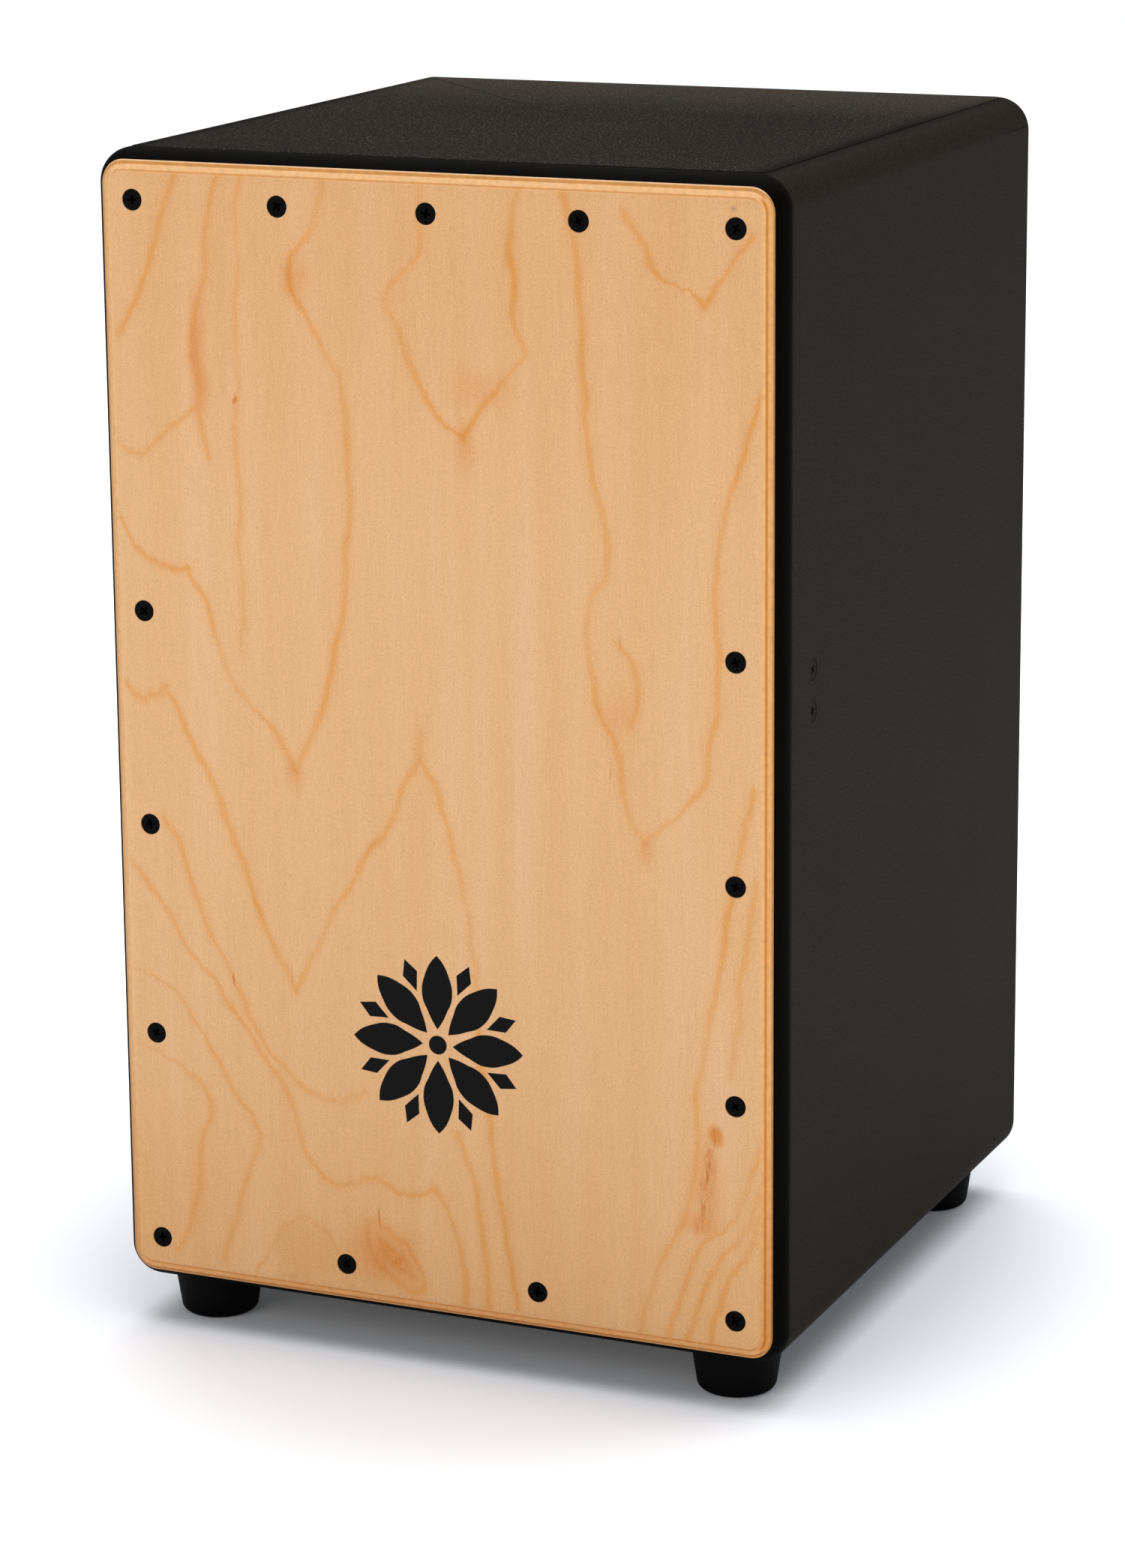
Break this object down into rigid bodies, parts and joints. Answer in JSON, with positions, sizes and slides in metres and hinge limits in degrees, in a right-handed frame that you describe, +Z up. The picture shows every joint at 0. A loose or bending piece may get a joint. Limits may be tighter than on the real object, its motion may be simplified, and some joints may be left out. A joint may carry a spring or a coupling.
{
  "type": "cajon",
  "caption": "Box drum to sit on: thin plywood front plate to strike, snare wires behind it, rear sound hole, anti-slip seat and rubber feet.",
  "frame": {"origin": "on the floor under the middle of the drum, at the underside of its rubber feet", "axes": "+Z up to the seat; -Y towards the player's striking side, out of the front plate; +Y out of the sound hole; +X to the right as seen from the front"},
  "size_m": [0.298, 0.302, 0.5004],
  "materials": {
    "black_shell_paint": "fine-textured satin black paint on plywood",
    "natural_plywood": "satin clear lacquer on light rotary-cut veneer",
    "anti_slip_sheet": "coarse pebbled black anti-slip sheet",
    "raw_batten_wood": "sawn and planed softwood, unfinished",
    "snare_steel": "bright drawn steel",
    "zinc_steel": "zinc plated",
    "black_screw_steel": "black phosphate, satin",
    "black_rubber": "matte moulded rubber"
  },
  "bodies": {
    "root": {"back_panel": "black_shell_paint", "back_screws_bottom": "black_screw_steel", "back_screws_left": "black_screw_steel", "back_screws_right": "black_screw_steel", "back_screws_top": "black_screw_steel", "bottom_panel": "black_shell_paint", "corner_strip_bottom_left": "raw_batten_wood", "corner_strip_bottom_right": "raw_batten_wood", "corner_strip_top_left": "raw_batten_wood", "corner_strip_top_right": "raw_batten_wood", "foot_front_left": "black_rubber", "foot_front_right": "black_rubber", "foot_rear_left": "black_rubber", "foot_rear_right": "black_rubber", "foot_screw_front_left": "zinc_steel", "foot_screw_front_right": "zinc_steel", "foot_screw_rear_left": "zinc_steel", "foot_screw_rear_right": "zinc_steel", "foot_washer_front_left": "zinc_steel", "foot_washer_front_right": "zinc_steel", "foot_washer_rear_left": "zinc_steel", "foot_washer_rear_right": "zinc_steel", "front_batten_bottom": "raw_batten_wood", "front_batten_left": "raw_batten_wood", "front_batten_right": "raw_batten_wood", "front_batten_top": "raw_batten_wood", "left_side_panel": "black_shell_paint", "rear_batten_bottom": "raw_batten_wood", "rear_batten_left": "raw_batten_wood", "rear_batten_right": "raw_batten_wood", "rear_batten_top": "raw_batten_wood", "right_side_panel": "black_shell_paint", "seat_grip_sheet": "anti_slip_sheet", "snare_clamp_plate_left": "snare_steel", "snare_clamp_plate_right": "snare_steel", "snare_plate_screws_left": "zinc_steel", "snare_plate_screws_right": "zinc_steel", "snare_rail": "raw_batten_wood", "snare_rail_screws_left": "black_screw_steel", "snare_rail_screws_right": "black_screw_steel", "snare_tip_strip_left": "snare_steel", "snare_tip_strip_right": "snare_steel", "snare_wires_left": "snare_steel", "snare_wires_right": "snare_steel", "tapa": "natural_plywood", "tapa_screws_bottom": "black_screw_steel", "tapa_screws_left": "black_screw_steel", "tapa_screws_right": "black_screw_steel", "tapa_screws_top": "black_screw_steel", "top_panel": "black_shell_paint"}
  },
  "joints": []
}
